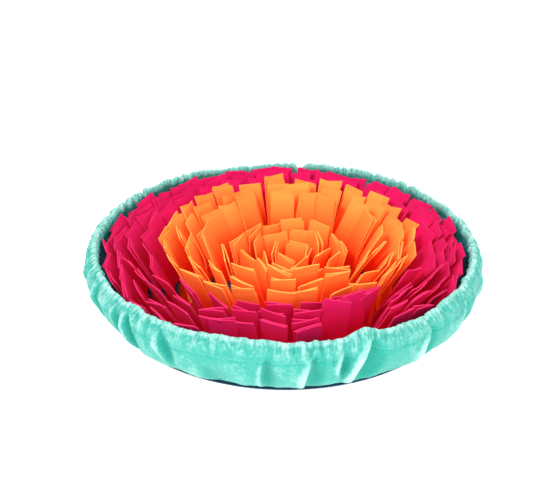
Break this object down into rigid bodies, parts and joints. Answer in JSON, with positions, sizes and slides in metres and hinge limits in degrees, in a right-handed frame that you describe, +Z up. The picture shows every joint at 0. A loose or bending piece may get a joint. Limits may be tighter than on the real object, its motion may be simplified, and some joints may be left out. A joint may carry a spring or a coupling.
{
  "type": "snuffle bowl",
  "caption": "Shallow round cloth bowl with a gathered elastic rim, its floor covered with rings of upright felt flaps round a small crater, for a pet to search for food.",
  "frame": {"origin": "on the ground under the middle of the bowl", "axes": "+Z up, -Y towards the front of the bowl, +X to the right seen from the front"},
  "size_m": [0.4196, 0.4187, 0.0807],
  "materials": {
    "wall_cloth": "matt woven cloth, mint green",
    "base_cloth": "matt woven cloth, navy blue",
    "magenta_felt": "matt pressed felt, magenta",
    "orange_felt": "matt pressed felt, orange"
  },
  "bodies": {
    "root": {"base_panel": "base_cloth", "wall_panel": "wall_cloth", "magenta_row1_arc1": "magenta_felt", "magenta_row1_arc2": "magenta_felt", "magenta_row1_arc3": "magenta_felt", "magenta_row1_arc4": "magenta_felt", "magenta_row1_arc5": "magenta_felt", "magenta_row1_arc6": "magenta_felt", "magenta_row2_arc1": "magenta_felt", "magenta_row2_arc2": "magenta_felt", "magenta_row2_arc3": "magenta_felt", "magenta_row2_arc4": "magenta_felt", "magenta_row2_arc5": "magenta_felt", "magenta_row2_arc6": "magenta_felt", "magenta_row3_arc1": "magenta_felt", "magenta_row3_arc2": "magenta_felt", "magenta_row3_arc3": "magenta_felt", "magenta_row3_arc4": "magenta_felt", "magenta_row3_arc5": "magenta_felt", "magenta_row3_arc6": "magenta_felt", "magenta_row4_arc1": "magenta_felt", "magenta_row4_arc2": "magenta_felt", "magenta_row4_arc3": "magenta_felt", "magenta_row4_arc4": "magenta_felt", "magenta_row4_arc5": "magenta_felt", "magenta_row4_arc6": "magenta_felt", "orange_row1_arc1": "orange_felt", "orange_row1_arc2": "orange_felt", "orange_row1_arc3": "orange_felt", "orange_row1_arc4": "orange_felt", "orange_row1_arc5": "orange_felt", "orange_row1_arc6": "orange_felt", "orange_row2_arc1": "orange_felt", "orange_row2_arc2": "orange_felt", "orange_row2_arc3": "orange_felt", "orange_row2_arc4": "orange_felt", "orange_row2_arc5": "orange_felt", "orange_row2_arc6": "orange_felt", "orange_row3_arc1": "orange_felt", "orange_row3_arc2": "orange_felt", "orange_row3_arc3": "orange_felt", "orange_row3_arc4": "orange_felt", "orange_row3_arc5": "orange_felt", "orange_row3_arc6": "orange_felt", "orange_row3_arc7": "orange_felt", "orange_row3_arc8": "orange_felt", "orange_row3_arc9": "orange_felt", "centre_row1_arc1": "orange_felt", "centre_row1_arc2": "orange_felt", "centre_row1_arc3": "orange_felt", "centre_row1_arc4": "orange_felt", "centre_row2_arc1": "orange_felt", "centre_row2_arc2": "orange_felt", "centre_row2_arc3": "orange_felt", "centre_row2_arc4": "orange_felt", "centre_row3_arc1": "orange_felt", "centre_row3_arc2": "orange_felt", "centre_row3_arc3": "orange_felt", "centre_row3_arc4": "orange_felt"}
  },
  "joints": []
}
